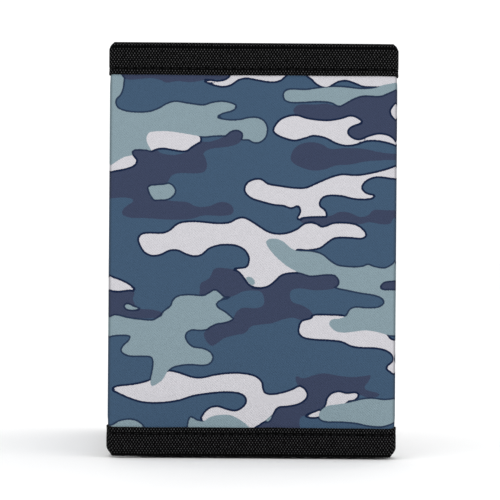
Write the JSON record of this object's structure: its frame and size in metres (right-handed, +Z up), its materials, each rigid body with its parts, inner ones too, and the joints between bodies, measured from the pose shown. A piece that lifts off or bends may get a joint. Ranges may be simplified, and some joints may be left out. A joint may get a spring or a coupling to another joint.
{
  "type": "trifold wallet",
  "caption": "Upright trifold wallet in printed fabric with black tape binding, folding flaps, card pockets, ID window, zip coin pocket and bill compartment.",
  "frame": {"origin": "on the underside of the centre panel's bottom binding, below the middle of its printed face", "axes": "+Z up along the folds, -Y out of the centre panel's printed face, +X towards the inner flap's fold"},
  "size_m": [0.0844, 0.0973, 0.12],
  "materials": {
    "printed_fabric": "matt printed canvas, woven",
    "binding_tape": "matt woven polyester tape",
    "board": "plain sheet, hidden",
    "lining": "plain woven nylon",
    "pocket_fabric": "matt woven polyester",
    "clear_vinyl": "clear flexible sheet",
    "gunmetal": "dark plated metal",
    "nylon": "satin moulded nylon",
    "hook_and_loop": "hook and loop tape"
  },
  "bodies": {
    "centre": {"centre_cover": "printed_fabric", "centre_board": "board", "centre_lining": "lining", "centre_organiser": "lining", "centre_organiser_trim": "binding_tape", "centre_top_tape": "binding_tape", "centre_bottom_tape": "binding_tape", "card_pocket_1": "pocket_fabric", "card_pocket_2": "pocket_fabric", "card_pocket_3": "pocket_fabric"},
    "outer_spine": {"outer_spine_cover": "printed_fabric", "outer_spine_lining": "lining", "outer_spine_top_tape": "binding_tape", "outer_spine_bottom_tape": "binding_tape"},
    "outer_flap": {"outer_flap_cover": "printed_fabric", "outer_flap_board": "board", "outer_flap_lining": "lining", "outer_flap_organiser": "lining", "outer_flap_organiser_trim": "binding_tape", "outer_flap_top_tape": "binding_tape", "outer_flap_bottom_tape": "binding_tape", "outer_flap_side_tape": "binding_tape", "coin_pocket_facing": "pocket_fabric", "coin_pocket_front": "pocket_fabric", "hook_strip": "hook_and_loop", "zip_tape_fold_side": "binding_tape", "zip_tape_edge_side": "binding_tape", "zip_teeth_fold_side": "nylon", "zip_teeth_edge_side": "nylon", "zip_top_stop_fold_side": "gunmetal", "zip_top_stop_edge_side": "gunmetal", "zip_bottom_stop": "gunmetal"},
    "zip_slider": {"zip_slider": "gunmetal"},
    "zip_pull": {"zip_pull": "gunmetal"},
    "inner_spine": {"inner_spine_cover": "printed_fabric", "inner_spine_lining": "lining", "inner_spine_top_tape": "binding_tape", "inner_spine_bottom_tape": "binding_tape"},
    "inner_flap": {"inner_flap_cover": "printed_fabric", "inner_flap_board": "board", "inner_flap_lining": "lining", "inner_flap_organiser": "lining", "inner_flap_organiser_trim": "binding_tape", "inner_flap_top_tape": "binding_tape", "inner_flap_bottom_tape": "binding_tape", "inner_flap_side_tape": "binding_tape", "id_window_frame": "pocket_fabric", "id_window": "clear_vinyl", "loop_strip": "hook_and_loop"}
  },
  "joints": [
    {"name": "outer_spine_crease", "type": "hinge", "parent": "centre", "child": "outer_spine", "pos_m": [-0.0405, 0.001, 0.06], "axis": [0, 0, 1], "range_deg": [0, 90]},
    {"name": "outer_flap_crease", "type": "hinge", "parent": "outer_spine", "child": "outer_flap", "pos_m": [-0.0405, 0.0175, 0.06], "axis": [0, 0, -1], "range_deg": [0, 90]},
    {"name": "inner_spine_crease", "type": "hinge", "parent": "centre", "child": "inner_spine", "pos_m": [0.0405, 0.001, 0.06], "axis": [0, 0, -1], "range_deg": [0, 90]},
    {"name": "inner_flap_crease", "type": "hinge", "parent": "inner_spine", "child": "inner_flap", "pos_m": [0.0405, 0.00935, 0.06], "axis": [0, 0, -1], "range_deg": [0, 90]},
    {"name": "zip_slide", "type": "slide", "parent": "outer_flap", "child": "zip_slider", "axis": [0, 0, 1], "range_m": [0, 0.075]},
    {"name": "zip_pull_swing", "type": "hinge", "parent": "zip_slider", "child": "zip_pull", "pos_m": [-0.0349, 0.0375, 0.0209], "axis": [0, -1, 0], "range_deg": [0, 180]}
  ],
  "couplings": [
    {"joint": "inner_flap_crease", "follows": "inner_spine_crease", "ratio": 1}
  ]
}
